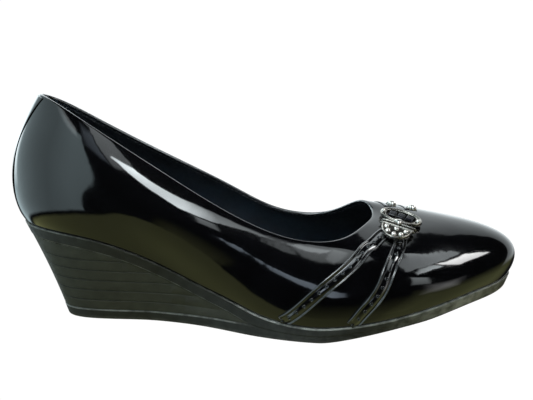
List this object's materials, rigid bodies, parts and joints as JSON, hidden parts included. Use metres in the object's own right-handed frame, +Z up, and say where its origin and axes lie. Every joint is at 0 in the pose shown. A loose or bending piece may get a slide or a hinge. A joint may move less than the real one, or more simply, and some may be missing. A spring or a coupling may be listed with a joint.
{
  "type": "wedge-heel dress shoe",
  "caption": "Black patent wedge-heel court pump for the right foot: hollow upper on a moulded rubber sole, narrow vamp straps and a metal ornament.",
  "frame": {"origin": "on the floor under the middle of the shoe's outline, between heel and toe and between the two sides", "axes": "+X points to the toe, +Y to the inner side of the foot and +Z up"},
  "size_m": [0.2398, 0.082, 0.1012],
  "materials": {
    "patent_leather": "gloss",
    "sole_rubber": "satin",
    "insole_lining": "matte",
    "gunmetal": "polished",
    "black_stone": "gloss"
  },
  "bodies": {
    "root": {"back_strip": "patent_leather", "front_strap_inner": "patent_leather", "front_strap_outer": "patent_leather", "insole": "insole_lining", "ornament_bead_1": "gunmetal", "ornament_bead_2": "gunmetal", "ornament_casting": "gunmetal", "ornament_end_stud_1": "gunmetal", "ornament_end_stud_2": "gunmetal", "ornament_heart": "gunmetal", "ornament_stone_1": "black_stone", "ornament_stone_2": "black_stone", "ornament_stone_3": "black_stone", "ornament_stud_1": "gunmetal", "ornament_stud_2": "gunmetal", "ornament_stud_3": "gunmetal", "ornament_stud_4": "gunmetal", "ornament_stud_5": "gunmetal", "ornament_stud_6": "gunmetal", "rear_strap_inner": "patent_leather", "rear_strap_outer": "patent_leather", "sole": "sole_rubber", "upper": "patent_leather", "wedge_heel": "sole_rubber"}
  },
  "joints": []
}
